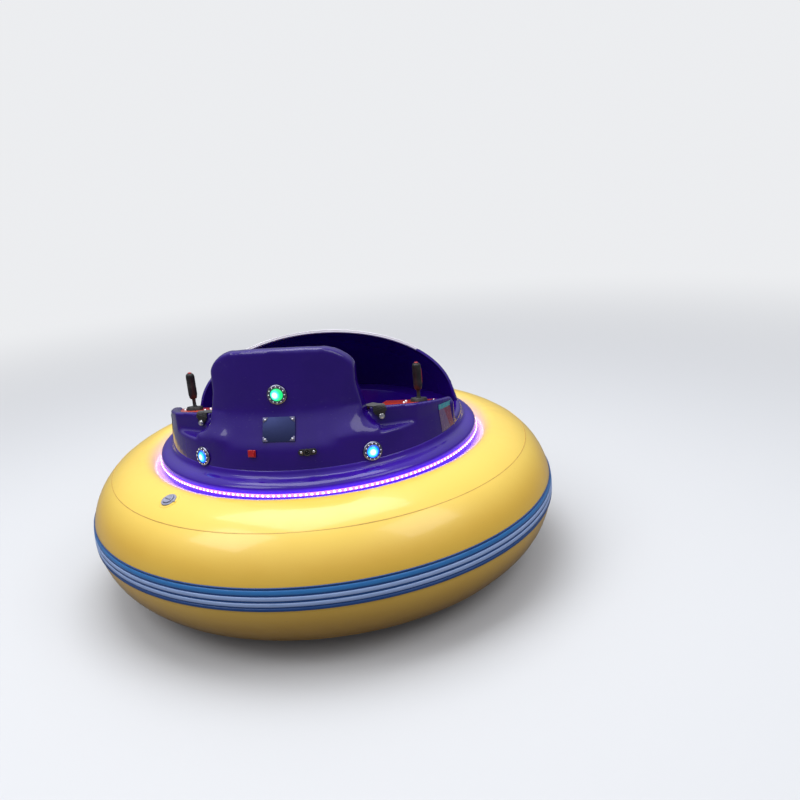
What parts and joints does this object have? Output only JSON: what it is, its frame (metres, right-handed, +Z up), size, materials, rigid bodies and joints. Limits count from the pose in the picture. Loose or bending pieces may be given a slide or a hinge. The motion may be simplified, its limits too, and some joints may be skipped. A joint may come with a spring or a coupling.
{
  "type": "inflatable bumper car",
  "caption": "Fairground bumper car: moulded one-seat body with cowl and seat back in an inflated bumper tube, steered by two joysticks.",
  "frame": {"origin": "on the floor, below the middle of the bumper tube", "axes": "+Y forward, +X to the rider's right, +Z up"},
  "size_m": [1.8997, 1.8998, 1.02],
  "materials": {
    "tube_pvc": "glossy coated fabric",
    "strip_pvc": "satin ribbed strip",
    "valve_plastic": "moulded",
    "body_frp": "gloss gelcoat",
    "led_strip": "clear cover over lights",
    "deck_frp": "gloss gelcoat",
    "screen_black": "gloss",
    "trim_white": "gloss",
    "panel_lilac": "gloss",
    "chrome": "polished",
    "lens_blue": "lit lens",
    "lens_green": "lit lens",
    "lens_white": "lit lens",
    "plate_metal": "blank, satin",
    "switch_red": "moulded",
    "fitting_black": "moulded",
    "webbing": "woven belt",
    "grip_black": "moulded grip",
    "button_red": "moulded",
    "frame_steel": "painted",
    "battery_case": "moulded",
    "motor_metal": "painted casting",
    "rim_alloy": "cast",
    "tyre": "solid rubber",
    "zinc_steel": "zinc plated",
    "caster_tread": "grey rubber"
  },
  "bodies": {
    "chassis": {"bumper_tube": "tube_pvc", "rub_strip": "strip_pvc", "air_valve": "valve_plastic", "hull_tub": "body_frp", "led_strip": "led_strip", "body_wall": "body_frp", "seat_back": "body_frp", "seat_bench": "body_frp", "console_left": "body_frp", "console_right": "body_frp", "deck_left": "deck_frp", "deck_right": "deck_frp", "cowl": "body_frp", "cowl_ribs": "body_frp", "windscreen": "screen_black", "screen_border": "trim_white", "cowl_panels": "panel_lilac", "lamp_bezels": "chrome", "rear_lamp_lenses": "lens_blue", "back_lamp_lens": "lens_green", "front_lamp_lenses": "lens_white", "rear_plate": "plate_metal", "power_switch": "switch_red", "charge_socket": "fitting_black", "seat_belts": "webbing", "belt_buckle": "fitting_black", "belt_bolts": "chrome", "joystick_bases": "fitting_black", "frame_rails": "frame_steel", "frame_crossmembers": "frame_steel", "battery": "battery_case", "drive_motors": "motor_metal", "motor_brackets": "frame_steel", "caster_mounts": "zinc_steel"},
    "drive_wheel_left": {"drive_rim_left": "rim_alloy", "drive_tyre_left": "tyre"},
    "drive_wheel_right": {"drive_rim_right": "rim_alloy", "drive_tyre_right": "tyre"},
    "caster_swivel_front": {"caster_fork_front": "zinc_steel"},
    "caster_roller_front": {"caster_wheel_front": "caster_tread"},
    "caster_swivel_rear": {"caster_fork_rear": "zinc_steel"},
    "caster_roller_rear": {"caster_wheel_rear": "caster_tread"},
    "joystick_left": {"joystick_left": "grip_black", "button_left": "button_red"},
    "joystick_right": {"joystick_right": "grip_black", "button_right": "button_red"}
  },
  "joints": [
    {"name": "drive_wheel_left_spin", "type": "hinge", "parent": "chassis", "child": "drive_wheel_left", "pos_m": [-0.35, -0.05, 0.1], "axis": [1, 0, 0], "continuous": true},
    {"name": "drive_wheel_right_spin", "type": "hinge", "parent": "chassis", "child": "drive_wheel_right", "pos_m": [0.35, -0.05, 0.1], "axis": [1, 0, 0], "continuous": true},
    {"name": "caster_front_swivel", "type": "hinge", "parent": "chassis", "child": "caster_swivel_front", "pos_m": [0, 0.36, 0.156], "axis": [0, 0, 1], "continuous": true},
    {"name": "caster_front_roll", "type": "hinge", "parent": "caster_swivel_front", "child": "caster_roller_front", "pos_m": [0, 0.322, 0.0625], "axis": [1, 0, 0], "continuous": true},
    {"name": "caster_rear_swivel", "type": "hinge", "parent": "chassis", "child": "caster_swivel_rear", "pos_m": [0, -0.36, 0.156], "axis": [0, 0, 1], "continuous": true},
    {"name": "caster_rear_roll", "type": "hinge", "parent": "caster_swivel_rear", "child": "caster_roller_rear", "pos_m": [0, -0.398, 0.0625], "axis": [1, 0, 0], "continuous": true},
    {"name": "joystick_left_tilt", "type": "hinge", "parent": "chassis", "child": "joystick_left", "pos_m": [-0.452, -0.192, 0.72479], "axis": [1, 0, 0], "range_deg": [-18, 18], "stiffness_Nm_per_rad": 0.8},
    {"name": "joystick_right_tilt", "type": "hinge", "parent": "chassis", "child": "joystick_right", "pos_m": [0.452, -0.192, 0.72479], "axis": [1, 0, 0], "range_deg": [-18, 18], "stiffness_Nm_per_rad": 0.8}
  ]
}
